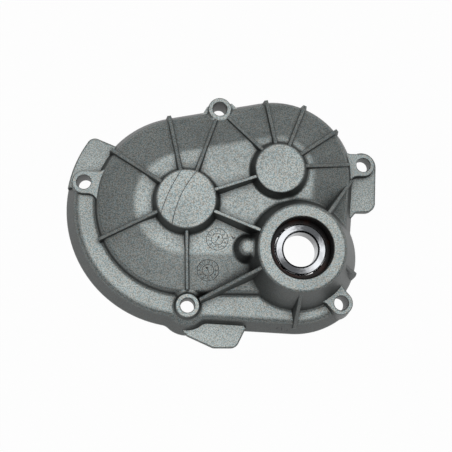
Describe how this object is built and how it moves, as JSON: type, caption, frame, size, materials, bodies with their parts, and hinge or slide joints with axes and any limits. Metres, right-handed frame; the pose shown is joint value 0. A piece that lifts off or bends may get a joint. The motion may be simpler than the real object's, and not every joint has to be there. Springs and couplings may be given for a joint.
{
  "type": "transmission cover",
  "caption": "Die-cast scooter gearbox cover with a ribbed dome, an open hub and two blind bosses, and ball bearings pressed in for the input and output shafts.",
  "frame": {"origin": "middle of the outline, on the gasket face", "axes": "+Z along the shafts, out of the gearbox; +X to the right and +Y up as the picture shows the cover"},
  "size_m": [0.1887, 0.1526, 0.038],
  "materials": {
    "cast_aluminium": "as die-cast and fine shot-blasted",
    "ring_steel": "ground",
    "ball_steel": "polished",
    "cage_plastic": "glossy with oil"
  },
  "bodies": {
    "cover": {"cover_casting": "cast_aluminium", "input_bearing_outer_ring": "ring_steel", "output_bearing_outer_ring": "ring_steel"},
    "input_ring": {"input_bearing_inner_ring": "ring_steel"},
    "input_cage": {"input_bearing_cage": "cage_plastic", "input_bearing_ball_1": "ball_steel", "input_bearing_ball_2": "ball_steel", "input_bearing_ball_3": "ball_steel", "input_bearing_ball_4": "ball_steel", "input_bearing_ball_5": "ball_steel", "input_bearing_ball_6": "ball_steel", "input_bearing_ball_7": "ball_steel", "input_bearing_ball_8": "ball_steel"},
    "output_ring": {"output_bearing_inner_ring": "ring_steel"},
    "output_cage": {"output_bearing_cage": "cage_plastic", "output_bearing_ball_1": "ball_steel", "output_bearing_ball_2": "ball_steel", "output_bearing_ball_3": "ball_steel", "output_bearing_ball_4": "ball_steel", "output_bearing_ball_5": "ball_steel", "output_bearing_ball_6": "ball_steel", "output_bearing_ball_7": "ball_steel", "output_bearing_ball_8": "ball_steel"}
  },
  "joints": [
    {"name": "input_bearing_spin", "type": "hinge", "parent": "cover", "child": "input_ring", "pos_m": [0.04335, -0.0207, 0.0235], "axis": [0, 0, 1], "continuous": true},
    {"name": "input_cage_spin", "type": "hinge", "parent": "cover", "child": "input_cage", "pos_m": [0.04335, -0.0207, 0.0235], "axis": [0, 0, 1], "continuous": true},
    {"name": "output_bearing_spin", "type": "hinge", "parent": "cover", "child": "output_ring", "pos_m": [-0.02275, 0.0077, 0.017], "axis": [0, 0, 1], "continuous": true},
    {"name": "output_cage_spin", "type": "hinge", "parent": "cover", "child": "output_cage", "pos_m": [-0.02275, 0.0077, 0.017], "axis": [0, 0, 1], "continuous": true}
  ],
  "couplings": [
    {"joint": "input_cage_spin", "follows": "input_bearing_spin", "ratio": 0.3815},
    {"joint": "output_cage_spin", "follows": "output_bearing_spin", "ratio": 0.3809}
  ]
}
